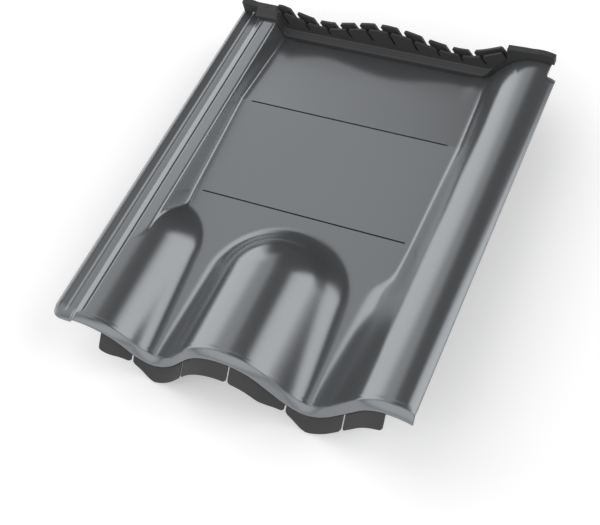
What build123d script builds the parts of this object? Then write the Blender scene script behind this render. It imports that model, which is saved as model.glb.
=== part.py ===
from build123d import *
import os
from math import cos, hypot, pi, radians, sin, sqrt, tan

# Pressed sheet-metal roof tile with two rolls, a recessed field for a roof hook and two rubber seals.
# x runs from the left rim to the right edge, y from the front edge to the head,
# z up from the valley floor at the front.

# Sheet
width = 330.0
length = 400.0
sheet = 1.0

# Front lip, bent down along the whole wave
lip_reach = 7.0
lip_drop = 6.6
lip_edge = 1.4
lip_corner = 2.0

# Left side: ribbed side lock, then a level bank
strip_edge = 30.0
bank_height = 34.0
lock_height = 29.2
lock_edge = 17.0
lock_end = 26.0
rib_run_out = 6.0
rib_front = 0.1
rib_places = (6.0, 11.4, 15.7, 21.0)
rib_half_widths = (2.2, 1.5, 2.0, 2.3)
rib_heights = (1.5, 0.9, 1.5, 1.4)
rim_corner = 9.0

# Left wall of the field and the hump in front of it
wall_edge = 40.0
wall_round = 3.0
wall_angle = 72.0
hump_end = 110.0
hump_round = 56.0
hump_angle = 54.0
hump_merge = 30.0

# Right roll, a little lower at the head, with a wide shoulder at the front and a steep wall behind it
right_inset = 20.0
right_height = 50.4
right_fall = 7.2
right_round = 42.0
right_angle = 45.0
right_wall_inset = 73.5
right_wall_angle = 60.0
shoulder_inset = 45.0
shoulder_end = 100.0
shoulder_drop = 3.2
shoulder_angle = 45.0
right_lip = 3.5
right_lip_front = 6.0
right_lip_head = 2.0
notch_width = 8.0
notch_length = 28.0

# Middle roll with its domed end
roll_pitch = 145.5
middle_end = 97.0
middle_height = 46.2
middle_round = 52.0
middle_angle = 49.0

# Field floor: three panels that meet at two scored lines
score_front = 174.0
head_panel = 115.0
floor_front = 13.5
floor_ridge = 20.2
floor_head = 12.7
score_width = 1.0
score_depth = 0.4
score_left = 58.0

# Blends of the press tool
valley_blend = 14.0
foot_blend = 6.0
crown_blend = 5.0

# Head seal: a sloped base with a flap over each side, and two rows of slit fins between the flaps
seal_gap = 0.3
seal_depth = 20.0
seal_inset = 6.0
seal_slope = 6.5
seal_toe = 2.5
seal_base = 8.0
seal_left = 20.0
ear_left = 3.0
ear_depth = 12.0
fin_left = 46.0
fin_right_inset = 52.0
fin_thickness = 2.6
fin_front_inset = 13.5
fin_foot = 4.0
fin_pitch = 23.0
fin_lean = 25.0
fin_mean = 34.5
fin_wave = 5.5
fin_wave_shift = 7.5
fin_left_rise = 5.0
fin_right_rise = 9.5
fin_rise_inset = 90.0
fin_rise_run = 55.0
slit_share = 0.4
front_slit = 3.0
front_slit_first = 53.0
front_slit_count = 10
back_slit = 5.0
back_slit_first = 64.5
back_slit_count = 9

# Front seal: one strip under the lip, slit into six tabs
tab_left = 49.0
tab_right_inset = 22.0
tab_length = 13.5
tab_short = 6.0
tab_short_left = 27.0
tab_short_middle = 53.5
tab_short_half = 22.0
tab_root = 7.5
tab_thickness = 2.4
tab_slit = 1.0
tab_slit_shares = (0.097, 0.301, 0.483, 0.653, 0.861)

# Places that follow from the sizes
right_edge = width - right_lip
right_place = width - right_inset
right_wall_foot = width - right_wall_inset
shoulder_place = width - shoulder_inset
shoulder_height = right_height - shoulder_drop
right_lip_end = length - notch_length
middle_place = right_place - roll_pitch
score_head = length - head_panel
seal_front = length - seal_depth
seal_back = length - seal_inset
seal_right = width - seal_inset
fin_right = width - fin_right_inset
fin_back_place = seal_back - fin_thickness
tab_right = width - tab_right_inset
tab_short_places = (tab_left + tab_short_left, middle_place + tab_short_middle)

# Spacing of the sections and points that carry the pressed form
slope_step = 0.05
front_sections = 2
dome_sections = 15
fine = 0.7
middling = 2.5
coarse = 4.5


def smooth_max(a, b, blend):
    """The higher of two heights, rounded where they come closer than the blend."""
    if blend <= 0:
        return max(a, b)
    near = max(blend - abs(a - b), 0.0) / blend
    return max(a, b) + near * near * blend / 4


def arch(offset, top, radius, angle):
    """Height of a round-topped ridge at a distance from its crest, straight below the tangent."""
    reach = radius * sin(radians(angle))
    if offset <= reach:
        return top - radius + sqrt(radius**2 - offset**2)
    return top - radius * (1 - cos(radians(angle))) - (offset - reach) * tan(radians(angle))


def ease(t):
    """Rises smoothly from 0 to 1 while t goes from 0 to 1."""
    t = min(max(t, 0.0), 1.0)
    return t * t * (3 - 2 * t)


def between(t, low, high):
    return low + (high - low) * t


def spread(start, end, step):
    """Evenly spaced values from start to end, about a step apart."""
    count = max(int(round((end - start) / step)), 2)
    return [between(i / count, start, end) for i in range(count + 1)]


def floor_height(y):
    if y < score_front:
        return between((y - lip_reach) / (score_front - lip_reach), 0.0, floor_front)
    if y < score_head:
        return between((y - score_front) / (score_head - score_front), floor_front, floor_ridge)
    return between((y - score_head) / (length - score_head), floor_ridge, floor_head)


def right_roll(x, y):
    """The right roll: a round crown, cut off towards the field by the shoulder and the steep wall."""
    top = right_height - right_fall * y / length
    crown = arch(abs(x - right_place), top, right_round, right_angle)
    away = hypot(max(shoulder_place - x, 0), max(y - shoulder_end, 0))
    shoulder = shoulder_height - away * tan(radians(shoulder_angle))
    wall = (x - right_wall_foot) * tan(radians(right_wall_angle))
    return -smooth_max(-crown, -smooth_max(wall, shoulder, foot_blend), crown_blend)


def bank_edge(y):
    """The level bank ends at the wall of the field, and at the side lock beside the hump."""
    return between(ease((y - hump_end + hump_merge) / hump_merge), strip_edge, wall_edge)


def press_height(x, y):
    """Top side of the pressed sheet between the side lock and the right lip."""
    hump = arch(hypot(x - strip_edge, max(y - hump_end, 0)), bank_height, hump_round, hump_angle)
    middle = arch(hypot(x - middle_place, max(y - middle_end, 0)), middle_height, middle_round, middle_angle)
    height = smooth_max(floor_height(y), hump, valley_blend)
    height = smooth_max(height, middle, valley_blend)
    wall = arch(max(x - bank_edge(y), 0), bank_height, wall_round, wall_angle)
    height = smooth_max(height, wall, min(foot_blend, max(bank_height - max(height, wall), 0)))
    blend = between(ease((y - shoulder_end) / (score_front - shoulder_end)), valley_blend, foot_blend)
    return smooth_max(height, right_roll(x, y), blend)


def lock_base(x):
    """Side lock without its ribs: a low rim that rises to the bank."""
    return between(ease((x - lock_edge) / (lock_end - lock_edge)), lock_height, bank_height)


def under(form, x, y, depth, turn=1.0):
    """A point at a depth below a form, square to its section; turn 0 makes that straight down."""
    slope = turn * (form(x + slope_step, y) - form(x - slope_step, y)) / (2 * slope_step)
    drop = depth / sqrt(1 + slope**2)
    return x + slope * drop, form(x, y) - drop


def curve(point, panel, y):
    """Smooth edge over one panel of places, with the true slope at both of its ends."""
    slopes = []
    for x in (panel[0], panel[-1]):
        before = Vector(point(x - slope_step)[0], 0, point(x - slope_step)[1])
        after = Vector(point(x + slope_step)[0], 0, point(x + slope_step)[1])
        slopes.append(after - before)
    share = [(x - panel[0]) / (panel[-1] - panel[0]) for x in panel]
    stops = [Vector(point(x)[0], y, point(x)[1]) for x in panel]
    return Edge.make_spline(stops, tangents=slopes, parameters=share)


def strip_face(y, panels, top, low):
    """Closed section between an upper and a lower line, each a function that gives (x, z) for a place."""
    upper = [curve(top, panel, y) for panel in panels]
    lower = [curve(low, panel, y) for panel in panels]
    right = Edge.make_line(upper[-1] @ 1, lower[-1] @ 1)
    left = Edge.make_line(lower[0] @ 0, upper[0] @ 0)
    return Face(Wire(upper + [right] + lower[::-1] + [left]))


def lock_line(y, share, fall, depth):
    """Side lock across the tile: a rounded rib at each place, straight lines between the ribs."""
    def stop(x, rise=0.0):
        lowered = fall * between(ease(x / strip_edge), lip_corner / lip_drop, 1.0)
        return Vector(x, y, lock_base(x) + rise * share - depth - lowered)

    edges = []
    end = 0.0
    for place, half, rise in zip(rib_places, rib_half_widths, rib_heights):
        edges.append(Edge.make_line(stop(end), stop(place - half)))
        edges.append(Edge.make_three_point_arc(stop(place - half), stop(place, rise), stop(place + half)))
        end = place + half
    edges.append(Edge.make_line(stop(end), stop(lock_end)))
    return edges


def lip_turn(x, fall):
    """The front lip drops square to the wave, and straight at the right edge."""
    if fall == 0:
        return 1.0
    return ease((right_edge - x) / (right_edge - shoulder_place))


def sheet_line(y, share, fall, depth):
    """Line across the whole sheet at a depth under its top side, lowered by the fall of the front lip."""
    row = max(y, lip_reach)
    lowered = lambda x: under(press_height, x, row, fall + depth, lip_turn(x, fall))
    press = [curve(lowered, panel, y) for panel in press_panels]
    lock = lock_line(y, share, fall, depth)
    lock.append(Edge.make_line(lock[-1] @ 1, press[0] @ 0))
    drop = between((row - lip_reach) / (right_lip_end - lip_reach), right_lip_front, right_lip_head)
    slant = hypot(drop, right_lip)
    rim = press_height(right_edge, row) - fall - drop
    end = Vector(width - depth * drop / slant, y, rim - depth * right_lip / slant)
    return lock + press + [Edge.make_line(press[-1] @ 1, end)]


def sheet_section(y, share=1.0, fall=0.0, thickness=sheet):
    """Closed section of the sheet: side lock with a share of its ribs, pressed panel and right lip."""
    upper = sheet_line(y, share, fall, 0.0)
    lower = sheet_line(y, share, fall, thickness)
    right = Edge.make_line(upper[-1] @ 1, lower[-1] @ 1)
    left = Edge.make_line(lower[0] @ 0, upper[0] @ 0)
    return Face(Wire(upper + [right] + lower[::-1] + [left]))


# Panels of places across the tile, closer together at the walls of the field
wall_foot = wall_edge + bank_height / tan(radians(wall_angle))
valley_left = (wall_edge + middle_place) / 2
valley_right = (middle_place + right_place) / 2
field_right = right_wall_foot - foot_blend
press_zones = [
    (strip_edge, wall_edge, fine),
    (wall_edge, wall_foot, fine),
    (wall_foot, valley_left, coarse),
    (valley_left, middle_place, coarse),
    (middle_place, valley_right, coarse),
    (valley_right, field_right, coarse),
    (field_right, shoulder_place, middling),
    (shoulder_place, right_edge, coarse),
]


def panels_within(zones, left, right):
    """The places of the zones that lie between two sides, one list for each zone."""
    inside = [(max(a, left), min(b, right), step) for a, b, step in zones]
    return [spread(a, b, step) for a, b, step in inside if b > a]


press_panels = panels_within(press_zones, strip_edge, right_edge)


def pressed_sheet():
    """The whole sheet: three lofts from the front lip to the head, sewn where they meet."""
    rib_start = lip_reach + rib_run_out
    dome_start = hump_end - hump_merge
    front = [sheet_section(0.0, rib_front, lip_drop, lip_edge), sheet_section(lip_reach, rib_front)]
    for y in spread(rib_start, dome_start, (dome_start - rib_start) / front_sections):
        front.append(sheet_section(y))
    dome_step = (score_front - dome_start) / dome_sections
    dome = [sheet_section(y) for y in spread(dome_start, score_front, dome_step)]
    field = [sheet_section(y) for y in (score_front, score_head, length)]

    front_skin = loft(front, True).faces().sort_by(Axis.Y)
    dome_skin = loft(dome).faces().sort_by(Axis.Y)
    field_skin = loft(field, True).faces().sort_by(Axis.Y)
    body = Solid(Shell(front_skin[:-1] + dome_skin[1:-1] + field_skin[1:]))
    for cutter in (rim_corner_cutter(), notch_cutter(), score(score_front), score(score_head)):
        body = body.cut(cutter)
    return body


def rim_corner_cutter():
    """Rounds the front left corner of the sheet in plan."""
    tall = 2 * bank_height
    block = Box(rim_corner, rim_corner, tall, align=(Align.MIN, Align.MIN, Align.MIN))
    return block - Pos(rim_corner, rim_corner, 0) * Cylinder(
        rim_corner, tall, align=(Align.CENTER, Align.CENTER, Align.MIN)
    )


def notch_cutter():
    """Cuts the right corner back at the head."""
    size = (notch_width + sheet, notch_length + sheet, 2 * right_height)
    corner = Pos(width - notch_width, right_lip_end, 0)
    return corner * Box(*size, align=(Align.MIN, Align.MIN, Align.MIN))


def score(y):
    """Shallow groove straight across the field floor."""
    across = right_wall_foot - score_left
    groove = Box(across, score_width, score_width, align=(Align.MIN, Align.CENTER, Align.MIN))
    return Pos(score_left, y, floor_height(y) - score_depth) * groove


def head_form(x, y):
    """Seat of the head seal: across the tops of the ribs and along the pressed sheet."""
    if x > strip_edge:
        return press_height(x, y)
    return between(min(x / rib_places[-1], 1.0), lock_height + max(rib_heights), bank_height)


def seat(x, y, rise=0.0):
    """A point a gap above the sheet, raised for the body of the seal."""
    place, height = under(head_form, x, y, -seal_gap)
    return place, height + rise


def fin_top(x):
    """Upper edge of the fins: the wave of the tile that lies on them, higher at both sides."""
    wave = fin_wave * cos(2 * pi * (x - middle_place + fin_wave_shift) / roll_pitch)
    left = fin_left_rise * ease(1 - (x - fin_left) / fin_rise_run)
    right = fin_right_rise * ease((x - width + fin_rise_inset) / fin_rise_run)
    return fin_mean + wave + left + right


def seal_panels(left, right):
    return panels_within([(ear_left, strip_edge, coarse)] + press_zones, left, right)


def head_seal():
    """One moulding: a sloped base on the sheet, an ear over the side lock and two rows of slit fins."""
    rows = [(seal_front, seal_toe), (seal_front + seal_slope, seal_base), (seal_back, seal_base)]
    faces = []
    for y, rise in rows:
        top = lambda x: seat(x, y, rise)
        faces.append(strip_face(y, seal_panels(seal_left, seal_right), top, lambda x: seat(x, y)))
    body = loft(faces, True)
    ear_front = length - ear_depth
    level = bank_height + seal_gap + seal_base
    ear_panels = seal_panels(ear_left, strip_edge)
    ear = strip_face(ear_front, ear_panels, lambda x: (x, level), lambda x: seat(x, ear_front))
    body = body.fuse(extrude(ear, seal_back - ear_front, dir=(0, 1, 0)))
    body = body.fuse(fin_row(length - fin_front_inset, front_slit, front_slit_first, front_slit_count))
    return body.fuse(fin_row(fin_back_place, back_slit, back_slit_first, back_slit_count))


def fin_row(y, slit, first, count):
    """A row of fins across the field, parted by leaning slits that end above the base."""
    panels = seal_panels(fin_left, fin_right)
    side = strip_face(y, panels, lambda x: (x, fin_top(x)), lambda x: seat(x, y, fin_foot))
    row = extrude(side, fin_thickness, dir=(0, 1, 0))
    for i in range(count):
        x = first + i * fin_pitch
        base = seat(x, y, seal_base)[1]
        foot = between(slit_share, base, fin_top(x))
        blade = Box(slit, 3 * fin_thickness, fin_mean, align=(Align.CENTER, Align.CENTER, Align.MIN))
        row = row - Pos(x, y + fin_thickness / 2, foot) * Rot(0, -fin_lean, 0) * blade
    return row


def front_seal():
    """A strip that slants forward from under the lip, slit into tabs."""
    slant = sqrt(0.5)
    places = spread(tab_left, tab_right, coarse)
    upper = []
    lower = []
    for x in places:
        edge_x, edge_z = under(press_height, x, lip_reach, lip_drop + lip_edge + seal_gap)
        reach = tab_length
        for place in tab_short_places:
            reach -= (tab_length - tab_short) * ease(1 - abs(edge_x - place) / tab_short_half)
        upper.append(Vector(edge_x, tab_root * slant, edge_z + tab_root * slant))
        lower.append(Vector(edge_x, -reach * slant, edge_z - reach * slant))
    face = Face.make_surface_from_curves(Edge.make_spline(upper), Edge.make_spline(lower))
    strip = Solid.extrude(face, Vector(0, slant, -slant) * tab_thickness)
    tall = 4 * right_height
    blade = Box(tab_slit, tall, 2 * tab_length, align=(Align.CENTER, Align.CENTER, Align.MAX))
    for share in tab_slit_shares:
        x = between(share, tab_left, tab_right)
        edge = min(places, key=lambda place: abs(under(press_height, place, lip_reach, lip_drop)[0] - x))
        edge_z = under(press_height, edge, lip_reach, lip_drop + lip_edge)[1]
        strip = strip.cut(Pos(x, 0, edge_z) * Rot(-45, 0, 0) * blade)
    return strip


nodes = {
    "pressed_sheet": pressed_sheet(),
    "head_seal": head_seal(),
    "front_seal": front_seal(),
}
box = Compound(children=[Compound(node.solids()) for node in nodes.values()]).bounding_box()
to_origin = Pos(-(box.min.X + box.max.X) / 2, -(box.min.Y + box.max.Y) / 2, -box.min.Z)

os.makedirs("parts", exist_ok=True)
for name, node in nodes.items():
    export_step(to_origin * node, f"parts/{name}.step")
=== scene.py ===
from math import cos, hypot, pi, radians, sin, sqrt, tan

import bpy
from mathutils import Matrix, Vector


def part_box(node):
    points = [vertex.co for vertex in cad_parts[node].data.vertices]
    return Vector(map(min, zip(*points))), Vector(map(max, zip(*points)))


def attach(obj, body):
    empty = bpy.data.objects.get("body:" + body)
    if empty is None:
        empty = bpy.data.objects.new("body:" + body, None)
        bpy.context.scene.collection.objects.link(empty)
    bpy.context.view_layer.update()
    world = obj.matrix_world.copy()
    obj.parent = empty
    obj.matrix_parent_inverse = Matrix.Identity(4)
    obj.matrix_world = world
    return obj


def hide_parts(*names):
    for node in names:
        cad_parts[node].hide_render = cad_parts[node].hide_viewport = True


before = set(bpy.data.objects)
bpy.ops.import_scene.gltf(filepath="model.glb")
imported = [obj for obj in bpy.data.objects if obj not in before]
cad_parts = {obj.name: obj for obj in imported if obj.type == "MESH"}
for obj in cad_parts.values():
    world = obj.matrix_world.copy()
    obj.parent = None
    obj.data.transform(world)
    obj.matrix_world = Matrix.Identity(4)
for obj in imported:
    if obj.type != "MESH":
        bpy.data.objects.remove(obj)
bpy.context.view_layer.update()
sheet_low, sheet_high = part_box("pressed_sheet")

# Sizes of the tile in millimetres: x from the left rim, y from the front edge, z from the valley floor
width = 330.0
length = 400.0
sheet = 1.0
lip_reach = 7.0
lip_drop = 6.6
lip_edge = 1.4
lip_corner = 1.6
lip_fade = 95.0
lip_bend = 1.6
strip_edge = 30.0
bank_height = 34.0
lock_height = 29.2
lock_edge = 18.5
lock_end = 24.0
lock_run_out = 6.0
lock_profile = ((0.0, lock_height), (0.8, 30.0), (2.8, 30.7), (3.4, 30.7), (4.2, 30.2), (10.4, 28.7),
                (11.1, 28.8), (12.2, 29.5), (12.8, 29.5), (14.0, 29.2), (14.6, 29.2), (18.2, 29.0),
                (19.6, 28.9), (21.6, 31.9), (22.6, 32.6), (28.0, bank_height), (29.4, 33.5), (29.8, 33.5),
                (strip_edge, bank_height))
lock_seat_end = 21.0
lock_seat_rise = 1.5
rim_corner = 9.0
wall_edge = 40.0
wall_round = 3.0
wall_angle = 72.0
hump_end = 110.0
hump_round = 56.0
hump_angle = 54.0
hump_merge = 30.0
middle_place = 164.5
middle_end = 97.0
middle_height = 46.2
middle_round = 52.0
middle_angle = 49.0
right_place = 310.0
right_height = 50.4
right_fall = 7.2
right_round = 42.0
right_angle = 45.0
right_wall_foot = 256.5
right_wall_angle = 60.0
shoulder_place = 285.0
shoulder_end = 100.0
shoulder_height = 47.2
shoulder_angle = 45.0
right_edge = 326.5
right_lip_front = 3.0
right_lip_head = 2.0
flange_lift = 1.5
right_lip_end = 372.0
notch_edge = 322.0
score_front = 174.0
score_head = 285.0
score_width = 1.0
score_depth = 0.4
score_slack = 0.01
# Share of the score width that is painted near-black as shade in the grooves
score_shade_share = 0.6
score_left = 58.0
score_right = 256.5
crease_depth = 0.3
crease_place = 8.4
crease_half = 1.2
droop_start = 335.0
droop_depth = 3.0
droop_edge = 14.0
floor_front = 13.5
floor_ridge = 20.2
floor_head = 12.7
valley_blend = 14.0
foot_blend = 6.0
crown_blend = 5.0
shoulder_blend = 13.0
wall_foot = wall_edge + bank_height / tan(radians(wall_angle))

# Grid of the sheet's skin: steps across and along, and the rows and columns that its edges need
probe = 0.05
lock_shares = (0.0, 0.15, 0.5, 0.85)
bank_step = 0.7
field_step = 2.0
roll_step = 1.3
flange_places = (0.8, 1.8, 2.7)
lip_rows = (0.0, 1.2, 3.5, 5.6, 6.4)
crease_step = 1.2
hump_step = 2.0
score_rows = (-1.2, -0.5, -0.48, 0.48, 0.5, 1.2)
score_margin = 4.0
panel_step = 6.0
head_step = 5.0
end_step = 4.0

# Head seal
seal_gap = 0.3
seal_front = 380.0
seal_back = 394.0
seal_left = 20.0
seal_right = 324.0
seal_base = 8.0
seal_step = 2.0
ear_left = 3.2
ear_front = 388.0
ear_flare = 3.0
ear_step = 0.4
ear_round = 0.6
ear_spacing = 1.8
fin_left = 46.0
fin_right = 278.0
fin_thickness = 2.6
fin_pitch = 23.0
fin_lean = 25.0
fin_mean = 34.5
fin_wave = 5.5
fin_wave_shift = 7.5
fin_left_rise = 5.0
fin_right_rise = 9.5
fin_rise_start = 240.0
fin_rise_run = 55.0
fin_limit = 51.4
fin_corner = 1.8
fin_sink = 1.0
fin_points = 16
fin_base_step = 6.0
slit_share = 0.3
flap_left = 279.4
flap_front = 387.2
flap_back = 393.7
flap_cover = 0.5
flap_lift = 1.0
flap_step = 4.0
base_run_out = 14.0
flap_top = ((flap_left, 50.4), (296.0, 51.3), (311.0, 51.3), (320.0, 50.0), (seal_right, 48.4))
seal_profile = ((seal_front, 0.0), (seal_front, 2.4), (380.4, 2.9), (382.2, 4.4), (382.6, 4.4),
                (384.4, 5.9), (384.8, 5.9), (386.4, 7.6), (387.0, seal_base), (seal_back, seal_base),
                (seal_back, 0.0))

# Rows of fins: place, width of a slit, first slit, number of slits, rise above the mean
fin_rows = ((386.5, 2.6, 53.0, 10, 1.5), (flap_back - fin_thickness, 5.5, 64.5, 9, 5.0))

# Front seal
tab_left = 49.0
tab_right = 308.0
tab_length = 13.5
tab_short = 6.0
tab_short_places = (76.0, 218.0)
tab_short_half = 22.0
tab_root = 7.5
tab_thickness = 1.6
tab_slit = 1.6
tab_corner = 2.6
tab_slit_shares = (0.097, 0.301, 0.483, 0.653, 0.861)
tab_points = 40
lip_line = (40.0, 322.0, 0.5)

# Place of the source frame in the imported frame, in metres
MM = 0.001
crest = right_height - right_fall * lip_reach / length
shift = Vector((sheet_low.x, sheet_low.y, sheet_high.z - crest * MM))


def place(x, y, z):
    return Vector((x * MM, y * MM, z * MM)) + shift


def smooth_max(a, b, blend):
    if blend <= 0:
        return max(a, b)
    near = max(blend - abs(a - b), 0.0) / blend
    return max(a, b) + near * near * blend / 4


def arch(offset, top, radius, angle):
    reach = radius * sin(radians(angle))
    if offset <= reach:
        return top - radius + sqrt(radius**2 - offset**2)
    return top - radius * (1 - cos(radians(angle))) - (offset - reach) * tan(radians(angle))


def ease(t):
    t = min(max(t, 0.0), 1.0)
    return t * t * (3 - 2 * t)


def between(t, low, high):
    return low + (high - low) * t


def spread(start, end, step):
    count = max(int(round((end - start) / step)), 1)
    return [between(i / count, start, end) for i in range(count + 1)]


def floor_height(y):
    if y < score_front:
        return between((y - lip_reach) / (score_front - lip_reach), 0.0, floor_front)
    if y < score_head:
        return between((y - score_front) / (score_head - score_front), floor_front, floor_ridge)
    return between((y - score_head) / (length - score_head), floor_ridge, floor_head)


def right_roll(x, y):
    top = right_height - right_fall * y / length
    crown = arch(abs(x - right_place), top, right_round, right_angle)
    away = hypot(max(shoulder_place - x, 0), max(y - shoulder_end, 0))
    shoulder = shoulder_height - away * tan(radians(shoulder_angle))
    wall = (x - right_wall_foot) * tan(radians(right_wall_angle))
    return -smooth_max(-crown, -smooth_max(wall, shoulder, shoulder_blend), crown_blend)


def bank_edge(y):
    return between(ease((y - hump_end + hump_merge) / hump_merge), strip_edge, wall_edge)


def press_height(x, y):
    hump = arch(hypot(x - strip_edge, max(y - hump_end, 0)), bank_height, hump_round, hump_angle)
    middle = arch(hypot(x - middle_place, max(y - middle_end, 0)), middle_height, middle_round, middle_angle)
    height = smooth_max(floor_height(y), hump, valley_blend)
    height = smooth_max(height, middle, valley_blend)
    wall = arch(max(x - bank_edge(y), 0), bank_height, wall_round, wall_angle)
    height = smooth_max(height, wall, min(foot_blend, max(bank_height - max(height, wall), 0)))
    blend = between(ease((y - shoulder_end) / (score_front - shoulder_end)), valley_blend, foot_blend)
    return smooth_max(height, right_roll(x, y), blend)


def lock_top(x):
    """Height of the side lock's section."""
    for (x0, z0), (x1, z1) in zip(lock_profile, lock_profile[1:]):
        if x <= x1:
            return between((x - x0) / (x1 - x0), z0, z1)
    return bank_height


def droop(x, y):
    """The field falls away a little more steeply in front of the head seal."""
    inside = ease((x - wall_foot) / droop_edge) * ease((right_wall_foot - x) / droop_edge)
    return droop_depth * inside * max((y - droop_start) / (length - droop_start), 0.0) ** 2


def slope_at(form, x, y):
    """Slope of a form across the tile."""
    return (form(x + probe, y) - form(x - probe, y)) / (2 * probe)


def top_height(x, y):
    """Top side of the sheet behind the front lip."""
    if x < strip_edge:
        plain = between(ease((x - lock_edge) / (lock_end - lock_edge)), lock_height, bank_height)
        return between(ease((y - lip_reach) / lock_run_out), plain, lock_top(x))
    if x <= right_edge:
        groove = 0.0
        if score_left <= x <= score_right:
            if min(abs(y - score_front), abs(y - score_head)) < score_width / 2 - score_slack:
                groove = score_depth
        groove += crease_depth * max(1 - abs(y - crease_place) / crease_half, 0.0)
        return press_height(x, y) - groove - droop(x, y)
    fall = between(min(y / right_lip_end, 1.0), right_lip_front, right_lip_head)
    return press_height(right_edge, y) - fall * (x - right_edge) / (width - right_edge)


def sheet_point(x, y, depth):
    """Point at a depth under the top side, square to the wave between the lock and the right edge."""
    row = max(y, lip_reach)
    lowered = depth
    if y < lip_reach:
        share = (1 - y / lip_reach) ** lip_bend
        fade = between(ease(x / lip_fade), lip_corner / lip_drop, 1.0)
        lowered = between(share, depth, lip_drop * fade + depth * lip_edge / sheet)
    slope = 0.0
    if strip_edge < x < right_edge:
        turn = 1.0
        if y <= lip_reach:
            turn = ease((right_edge - x) / (right_edge - shoulder_place))
        slope = turn * slope_at(press_height, x, row)
    drop = lowered / sqrt(1 + slope**2)
    if x > right_edge:
        drop -= flange_lift * ease(1 - y / (2 * lip_reach)) * (x - right_edge) / (width - right_edge)
    cut = 0.0
    if x < rim_corner:
        cut = rim_corner - sqrt(rim_corner**2 - (rim_corner - x) ** 2)
    if y < 2 * rim_corner:
        y = cut + y * (1 - cut / (2 * rim_corner))
    return place(x + slope * drop, y, top_height(x, row) - drop)


def mesh_object(name, verts, faces):
    mesh = bpy.data.meshes.new(name)
    mesh.from_pydata(verts, [], faces)
    mesh.update()
    mesh.shade_smooth()
    obj = bpy.data.objects.new(name, mesh)
    bpy.context.scene.collection.objects.link(obj)
    return obj


def pressed_sheet():
    """Fine grid over both sides of the sheet, closed along its edges."""
    columns = []
    for (x0, _), (x1, _) in zip(lock_profile, lock_profile[1:]):
        columns += [between(share, x0, x1) for share in lock_shares]
    columns += spread(strip_edge, wall_foot, bank_step)
    columns += spread(wall_foot, right_wall_foot - foot_blend, field_step)[1:]
    columns += spread(right_wall_foot - foot_blend, notch_edge, roll_step)[1:]
    columns += [right_edge] + [right_edge + away for away in flange_places] + [width]
    rows = list(lip_rows)
    rows += [lip_reach, crease_place - crease_half, crease_place, crease_place + crease_half]
    rows += spread(crease_place + 2 * crease_half, lip_reach + lock_run_out, crease_step)
    rows += spread(lip_reach + lock_run_out, score_front - score_margin, hump_step)[1:]
    for y in (score_front, score_head):
        rows += [y + away for away in score_rows]
    rows += spread(score_front + score_margin, score_head - score_margin, panel_step)
    rows += spread(score_head + score_margin, right_lip_end, head_step)
    rows += spread(right_lip_end, length, end_step)[1:]
    rows.sort()
    wide = len(columns)
    verts = []
    for depth in (0.0, sheet):
        for y in rows:
            verts += [sheet_point(x, y, depth) for x in columns]
    low = wide * len(rows)
    cells = set()
    for j in range(len(rows) - 1):
        for i in range(wide - 1):
            if columns[i] < notch_edge or rows[j] < right_lip_end:
                cells.add((i, j))
    faces = []
    for i, j in sorted(cells):
        a = j * wide + i
        b = a + 1
        c = b + wide
        d = a + wide
        faces.append((a, b, c, d))
        faces.append((low + d, low + c, low + b, low + a))
        sides = (((i, j - 1), a, b), ((i + 1, j), b, c), ((i, j + 1), c, d), ((i - 1, j), d, a))
        for near, p, q in sides:
            if near not in cells:
                faces.append((q, p, low + p, low + q))
    used = sorted({v for f in faces for v in f})
    index = {v: k for k, v in enumerate(used)}
    return mesh_object("sheet_skin", [verts[v] for v in used], [tuple(index[v] for v in f) for f in faces])


def under(form, x, y, depth):
    """A point at a depth below a form, square to its section."""
    slope = slope_at(form, x, y)
    drop = depth / sqrt(1 + slope**2)
    return x + slope * drop, form(x, y) - drop


def head_form(x, y):
    """Seat of the head seal: across the top of the side lock and along the pressed sheet."""
    if x > strip_edge:
        return press_height(x, y)
    return between(min(x / lock_seat_end, 1.0), lock_height + lock_seat_rise, bank_height)


def fin_top(x):
    wave = fin_wave * cos(2 * pi * (x - middle_place + fin_wave_shift) / (right_place - middle_place))
    left = fin_left_rise * ease(1 - (x - fin_left) / fin_rise_run)
    return fin_mean + wave + left + fin_right_rise * ease((x - fin_rise_start) / fin_rise_run)


def swept(verts, faces, rings):
    """Adds a closed solid through rings of points that each have the same number of points."""
    first = len(verts)
    count = len(rings[0])
    for ring in rings:
        verts += ring
    for i in range(len(rings) - 1):
        for j in range(count):
            a = first + i * count + j
            b = first + i * count + (j + 1) % count
            faces.append((a, b, b + count, a + count))
    faces.append(tuple(first + j for j in reversed(range(count))))
    last = first + (len(rings) - 1) * count
    faces.append(tuple(last + j for j in range(count)))


def rounded_top(x0, x1, height, foot, corner):
    """Outline of one leaning fin from its left foot to its right foot, with rounded upper corners."""
    lean = tan(radians(fin_lean))
    points = [(x0, foot(x0))]
    for t in spread(0.0, 1.0, 1 / fin_points):
        u = between(t, x0, x1)
        x = u - (height(u) - foot(u)) * lean
        edge = min(u - x0, x1 - u)
        fall = 0.0
        if edge < corner:
            fall = corner - sqrt(corner**2 - (corner - edge) ** 2)
        points.append((x, min(height(x), fin_limit) - fall))
    points.append((x1, foot(x1)))
    return points


def fin_row(verts, faces, y, slit, first, count, rise):
    """One row of leaning fins on a low band, as one plate."""

    def base(x):
        return under(head_form, x, y, -seal_gap)[1] + seal_base - fin_sink

    def height(x):
        return fin_top(min(max(x, fin_left), fin_right)) + rise

    def foot(x):
        return between(slit_share, base(x) + fin_sink, height(x))

    slits = [first + i * fin_pitch for i in range(count)]
    starts = [fin_left] + [x + slit / 2 for x in slits]
    ends = [x - slit / 2 for x in slits] + [fin_right]
    outline = []
    for x0, x1 in zip(starts, ends):
        if x1 - x0 > 2 * fin_corner:
            outline += rounded_top(x0, x1, height, foot, fin_corner)
    outline += [(x, base(x)) for x in reversed(spread(fin_left, fin_right, fin_base_step))]
    rings = [[place(x, at, z) for x, z in outline] for at in (y + fin_thickness, y)]
    swept(verts, faces, rings)


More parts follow.
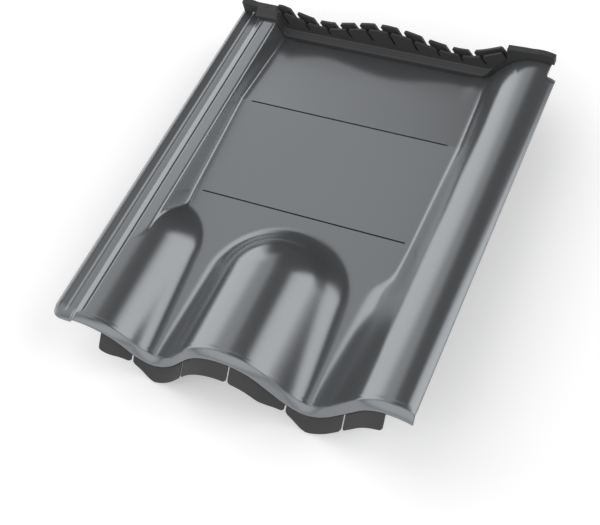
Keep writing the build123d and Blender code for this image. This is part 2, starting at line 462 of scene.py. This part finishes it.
def head_seal():
    """Base with fine steps along its front, ear over the side lock, flap over the roll, two rows of fins."""
    verts = []
    faces = []
    rings = []
    for x in spread(seal_left, seal_right, seal_step):
        ring = []
        front = between(ease((x - right_wall_foot) / base_run_out), seal_front, flap_front + flap_cover)
        for profile_y, rise in seal_profile:
            y = max(profile_y, front)
            across, seat = under(head_form, x, y, -seal_gap)
            if rise == 0:
                seat -= droop(x, y)
            ring.append(place(across, y, seat + rise))
        rings.append(ring)
    swept(verts, faces, rings)
    rings = []
    for x in spread(ear_left, strip_edge, ear_spacing):
        flare = ear_flare * ease(1 - (x - ear_left) / (seal_left - ear_left))
        top = bank_height + seal_gap + seal_base + ear_step + flare
        low = head_form(x, ear_front) + seal_gap
        section = ((ear_front, low), (ear_front - flare / 2, top - ear_round), (ear_front + ear_round, top),
                   (flap_back, top), (flap_back, low))
        rings.append([place(x, y, z) for y, z in section])
    swept(verts, faces, rings)
    seat = []
    for x in spread(flap_left, seal_right, flap_step):
        seat.append((x, under(head_form, x, flap_front, -seal_gap)[1] + flap_lift))
    outline = list(flap_top) + seat[::-1]
    swept(verts, faces, [[place(x, y, z) for x, z in outline] for y in (flap_back, flap_front)])
    for row in fin_rows:
        fin_row(verts, faces, *row)
    return mesh_object("head_seal_rubber", verts, faces)


def front_seal():
    """Tabs under the lip, each with rounded lower corners."""
    slant = sqrt(0.5)
    stops = [between(share, tab_left, tab_right) for share in tab_slit_shares]
    starts = [tab_left] + [x + tab_slit / 2 for x in stops]
    ends = [x - tab_slit / 2 for x in stops] + [tab_right]
    depth = lip_drop + lip_edge + seal_gap
    line = [under(press_height, x, lip_reach, depth) for x in spread(*lip_line)]
    verts = []
    faces = []
    for left, right in zip(starts, ends):
        rings = []
        for t in spread(0.0, 1.0, 1 / tab_points):
            x = between(0.5 - cos(pi * t) / 2, left, right)
            after = max(k for k in range(len(line) - 1) if line[k][0] <= x)
            share = (x - line[after][0]) / (line[after + 1][0] - line[after][0])
            edge_z = between(share, line[after][1], line[after + 1][1])
            reach = tab_length
            for short in tab_short_places:
                reach -= (tab_length - tab_short) * ease(1 - abs(x - short) / tab_short_half)
            edge = min(x - left, right - x)
            if edge < tab_corner:
                reach -= tab_corner - sqrt(tab_corner**2 - (tab_corner - edge) ** 2)
            ring = []
            section = ((-tab_root, 0.0), (reach, 0.0), (reach, tab_thickness), (-tab_root, tab_thickness))
            for out, deep in section:
                ring.append(place(x, (deep - out) * slant, edge_z - (out + deep) * slant))
            rings.append(ring)
        swept(verts, faces, rings)
    return mesh_object("front_seal_rubber", verts, faces)


def new_material(name):
    material = bpy.data.materials.new(name)
    material.use_nodes = True
    nodes = material.node_tree.nodes
    return material, nodes, material.node_tree.links, nodes["Principled BSDF"]


def math_node(nodes, links, operation, first, second):
    """A math node on two values, each a socket or a number."""
    node = nodes.new("ShaderNodeMath")
    node.operation = operation
    for socket, value in zip(node.inputs, (first, second)):
        if isinstance(value, (int, float)):
            socket.default_value = value
        else:
            links.new(value, socket)
    return node.outputs["Value"]


def painted_score_shade(nodes, links, coord, colour):
    """Paints shade into the colour: a near-black line along the two scored lines of the field stands in for
    the shade in their grooves.
    """
    split = nodes.new("ShaderNodeSeparateXYZ")
    links.new(coord.outputs["Object"], split.inputs["Vector"])
    left = place(score_left, 0, 0).x
    right = place(score_right, 0, 0).x
    inside = math_node(nodes, links, "GREATER_THAN", split.outputs["X"], left)
    inside = math_node(nodes, links, "MULTIPLY", inside,
                       math_node(nodes, links, "LESS_THAN", split.outputs["X"], right))
    line = 0.0
    for y in (score_front, score_head):
        away = math_node(nodes, links, "SUBTRACT", split.outputs["Y"], place(0, y, 0).y)
        away = math_node(nodes, links, "ABSOLUTE", away, 0.0)
        hit = math_node(nodes, links, "LESS_THAN", away, score_width * MM * score_shade_share)
        line = math_node(nodes, links, "MAXIMUM", hit, line)
    shade_mask = math_node(nodes, links, "MULTIPLY", inside, line)
    mix = nodes.new("ShaderNodeMix")
    mix.data_type = "RGBA"
    links.new(shade_mask, mix.inputs["Factor"])
    links.new(colour, mix.inputs["A"])
    # Near-black painted shade for the scored grooves
    mix.inputs["B"].default_value = (0.012, 0.012, 0.013, 1)
    return mix.outputs["Result"]


def paint():
    """Satin metallic paint: fine flakes, a slow change of sheen, and painted shade along the scored grooves.
    """
    material, nodes, links, shader = new_material("grey_paint")
    coord = nodes.new("ShaderNodeTexCoord")
    flake = nodes.new("ShaderNodeTexNoise")
    flake.inputs["Scale"].default_value = 2200
    flake.inputs["Detail"].default_value = 2
    links.new(coord.outputs["Object"], flake.inputs["Vector"])
    tint = nodes.new("ShaderNodeValToRGB")
    tint.color_ramp.elements[0].position = 0.3
    tint.color_ramp.elements[0].color = (0.204, 0.214, 0.224, 1)
    tint.color_ramp.elements[1].position = 0.7
    tint.color_ramp.elements[1].color = (0.216, 0.226, 0.236, 1)
    links.new(flake.outputs["Fac"], tint.inputs["Fac"])
    links.new(painted_score_shade(nodes, links, coord, tint.outputs["Color"]), shader.inputs["Base Color"])
    slow = nodes.new("ShaderNodeTexNoise")
    slow.inputs["Scale"].default_value = 14
    links.new(coord.outputs["Object"], slow.inputs["Vector"])
    sheen = nodes.new("ShaderNodeMapRange")
    sheen.inputs["To Min"].default_value = 0.2
    sheen.inputs["To Max"].default_value = 0.23
    links.new(slow.outputs["Fac"], sheen.inputs["Value"])
    links.new(sheen.outputs["Result"], shader.inputs["Roughness"])
    shader.inputs["Metallic"].default_value = 0.75
    bump = nodes.new("ShaderNodeBump")
    bump.inputs["Strength"].default_value = 0.01
    bump.inputs["Distance"].default_value = 0.0002
    links.new(flake.outputs["Fac"], bump.inputs["Height"])
    links.new(bump.outputs["Normal"], shader.inputs["Normal"])
    return material


def rubber():
    """Matt black rubber with a fine grain."""
    material, nodes, links, shader = new_material("seal_rubber")
    coord = nodes.new("ShaderNodeTexCoord")
    grain = nodes.new("ShaderNodeTexNoise")
    grain.inputs["Scale"].default_value = 900
    grain.inputs["Detail"].default_value = 4
    links.new(coord.outputs["Object"], grain.inputs["Vector"])
    tint = nodes.new("ShaderNodeValToRGB")
    tint.color_ramp.elements[0].position = 0.3
    tint.color_ramp.elements[0].color = (0.026, 0.026, 0.027, 1)
    tint.color_ramp.elements[1].position = 0.7
    tint.color_ramp.elements[1].color = (0.036, 0.036, 0.037, 1)
    links.new(grain.outputs["Fac"], tint.inputs["Fac"])
    links.new(tint.outputs["Color"], shader.inputs["Base Color"])
    shader.inputs["Roughness"].default_value = 0.62
    bump = nodes.new("ShaderNodeBump")
    bump.inputs["Strength"].default_value = 0.15
    bump.inputs["Distance"].default_value = 0.0002
    links.new(grain.outputs["Fac"], bump.inputs["Height"])
    links.new(bump.outputs["Normal"], shader.inputs["Normal"])
    return material


grey_paint = paint()
seal_rubber = rubber()

skin = pressed_sheet()
skin.data.materials.append(grey_paint)
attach(skin, "root")
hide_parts("pressed_sheet")
for seal, node in ((head_seal(), "head_seal"), (front_seal(), "front_seal")):
    seal.data.shade_flat()
    seal.data.materials.append(seal_rubber)
    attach(seal, "root")
    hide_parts(node)

# Pale floor, with a little light of its own for the camera and for reflections
floor_half = 4
floor_corners = [(x * floor_half, y * floor_half, 0) for x, y in ((-1, -1), (1, -1), (1, 1), (-1, 1))]
floor = mesh_object("floor", floor_corners, [(0, 1, 2, 3)])
floor_paint, nodes, links, shader = new_material("pale_floor")
shader.inputs["Base Color"].default_value = (0.92, 0.92, 0.92, 1)
shader.inputs["Roughness"].default_value = 0.9
shader.inputs["Specular IOR Level"].default_value = 0.0
path = nodes.new("ShaderNodeLightPath")
seen = math_node(nodes, links, "MAXIMUM", path.outputs["Is Camera Ray"], path.outputs["Is Glossy Ray"])
links.new(seen, shader.inputs["Emission Strength"])
shader.inputs["Emission Color"].default_value = (0.18, 0.18, 0.18, 1)
floor.data.materials.append(floor_paint)


def band(nodes, links, value, low, high, soft):
    """One between low and high, falling to zero over the soft edges."""
    edges = []
    for start, end in ((low - soft, low + soft), (high + soft, high - soft)):
        step = nodes.new("ShaderNodeMapRange")
        step.interpolation_type = "SMOOTHSTEP"
        step.inputs["From Min"].default_value = min(start, end)
        step.inputs["From Max"].default_value = max(start, end)
        if start > end:
            step.inputs["To Min"].default_value = 1.0
            step.inputs["To Max"].default_value = 0.0
        links.new(value, step.inputs["Value"])
        edges.append(step.outputs["Result"])
    return math_node(nodes, links, "MULTIPLY", edges[0], edges[1])


def studio():
    """Soft boxes left, right and behind the camera, with a dark gap behind the tile; white to the camera."""
    world = bpy.data.worlds.new("studio")
    bpy.context.scene.world = world
    world.use_nodes = True
    nodes = world.node_tree.nodes
    links = world.node_tree.links
    back = nodes["Background"]
    coord = nodes.new("ShaderNodeTexCoord")
    split = nodes.new("ShaderNodeSeparateXYZ")
    links.new(coord.outputs["Generated"], split.inputs["Vector"])
    turn = math_node(nodes, links, "ARCTAN2", split.outputs["X"], split.outputs["Y"])
    azimuth = math_node(nodes, links, "DEGREES", turn, 0.0)
    height = math_node(nodes, links, "ARCSINE", split.outputs["Z"], 0.0)
    elevation = math_node(nodes, links, "DEGREES", height, 0.0)
    light = 0.0
    for strength, around, rise in soft_boxes:
        box = band(nodes, links, azimuth, *around)
        box = math_node(nodes, links, "MULTIPLY", box, band(nodes, links, elevation, *rise))
        box = math_node(nodes, links, "MULTIPLY", box, strength)
        light = math_node(nodes, links, "ADD", box, light)
    light = math_node(nodes, links, "ADD", light, room_light)
    path = nodes.new("ShaderNodeLightPath")
    seen = nodes.new("ShaderNodeMix")
    seen.data_type = "RGBA"
    links.new(path.outputs["Is Camera Ray"], seen.inputs["Factor"])
    links.new(light, seen.inputs["A"])
    seen.inputs["B"].default_value = (1, 1, 1, 1)
    links.new(seen.outputs["Result"], back.inputs["Color"])


# Soft boxes: strength, then azimuth from the tile's length and elevation, each as low, high, soft edge
room_light = 0.07
soft_boxes = (
    (1.90, (-105, -34, 8), (-8, 43, 7)),
    (0.80, (-105, -16, 8), (42, 95, 6)),
    (0.80, (-34, -16, 8), (31, 42, 4)),
    (2.00, (40, 100, 5), (4, 53, 6)),
    (0.34, (-16, 180, 8), (68, 95, 6)),
    (1.35, (-190, -115, 15), (5, 65, 15)),
    (1.35, (115, 190, 15), (5, 65, 15)),
)
studio()

# Camera at the photograph's viewing angle
camera_data = bpy.data.cameras.new("camera")
camera_data.sensor_width = 36.0
camera_data.lens = 66.96
camera = bpy.data.objects.new("camera", camera_data)
bpy.context.scene.collection.objects.link(camera)
camera_place = place(502.95, -351.50, 789.08)
camera_axes = Matrix(((0.90701, -0.25330, 0.33641),
                      (0.39898, 0.77247, -0.49406),
                      (-0.13472, 0.58234, 0.80170)))
camera.matrix_world = Matrix.Translation(camera_place) @ camera_axes.to_4x4()
bpy.context.scene.camera = camera
bpy.context.scene.view_settings.view_transform = "Standard"
